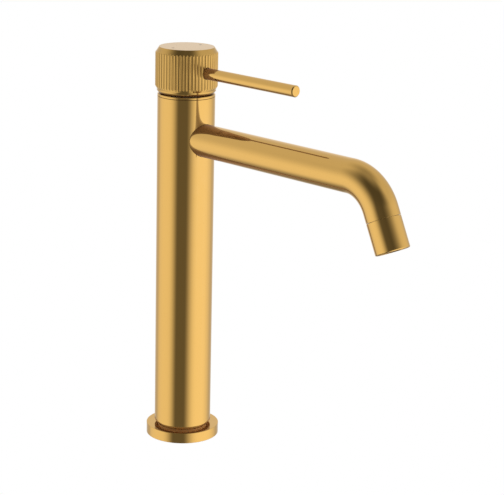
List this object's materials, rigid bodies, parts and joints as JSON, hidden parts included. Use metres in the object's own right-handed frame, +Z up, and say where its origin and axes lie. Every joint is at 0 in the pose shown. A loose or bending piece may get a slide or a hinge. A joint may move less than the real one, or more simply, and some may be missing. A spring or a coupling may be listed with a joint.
{
  "type": "tall basin mixer faucet",
  "caption": "Tall single-lever basin mixer with a round column, long bent spout, knurled handle cap and slim pin lever.",
  "frame": {"origin": "centre of the underside of the foot, on the deck the tap stands on", "axes": "+Z up along the column, -Y along the spout and the lever at rest, -X the hot side and +X the cold side"},
  "size_m": [0.058, 0.2601, 0.3148],
  "materials": {
    "satin_gold": "brushed satin gold coating",
    "raw_brass": "machined",
    "copper_tube": "drawn tube",
    "fine_steel": "satin",
    "pale_plastic": "moulded",
    "white_ceramic": "lapped",
    "black_rubber": "matte",
    "hot_mark": "enamel",
    "cold_mark": "enamel"
  },
  "bodies": {
    "faucet_body": {"base_flange": "satin_gold", "base_seal": "black_rubber", "foot_block": "raw_brass", "foot_seal": "black_rubber", "body_column": "satin_gold", "hot_riser_tube": "copper_tube", "cold_riser_tube": "copper_tube", "valve_block": "raw_brass", "spout_tube": "satin_gold", "spout_seal": "black_rubber", "aerator_housing": "satin_gold", "aerator_washer": "black_rubber", "aerator_insert": "pale_plastic", "aerator_screen": "fine_steel", "trim_ring": "satin_gold", "cartridge_nut": "raw_brass", "cartridge_housing": "pale_plastic", "cartridge_base": "pale_plastic", "hot_port_seal": "black_rubber", "cold_port_seal": "black_rubber", "outlet_port_seal": "black_rubber", "fixed_disc": "white_ceramic"},
    "turning_stem_holder": {"stem_rotor": "pale_plastic", "stem_pin": "fine_steel"},
    "sliding_disc": {"moving_disc": "white_ceramic", "disc_carrier": "pale_plastic"},
    "handle": {"stem": "raw_brass", "handle_cap": "satin_gold", "lever_pin": "satin_gold", "handle_grub_screw": "fine_steel", "grub_screw_plug": "satin_gold", "hot_index_dot": "hot_mark", "cold_index_dot": "cold_mark"}
  },
  "joints": [
    {"name": "handle_turn", "type": "hinge", "parent": "faucet_body", "child": "turning_stem_holder", "pos_m": [0, 0, 0.298], "axis": [0, 0, 1], "range_deg": [-50, 50]},
    {"name": "handle_lift", "type": "hinge", "parent": "turning_stem_holder", "child": "handle", "pos_m": [0, 0, 0.298], "axis": [-1, 0, 0], "range_deg": [0, 20]},
    {"name": "disc_slide", "type": "slide", "parent": "turning_stem_holder", "child": "sliding_disc", "axis": [0, -1, 0], "range_m": [0, 0.0046]}
  ],
  "couplings": [
    {"joint": "disc_slide", "follows": "handle_lift", "m_per_rad": 0.01312}
  ]
}
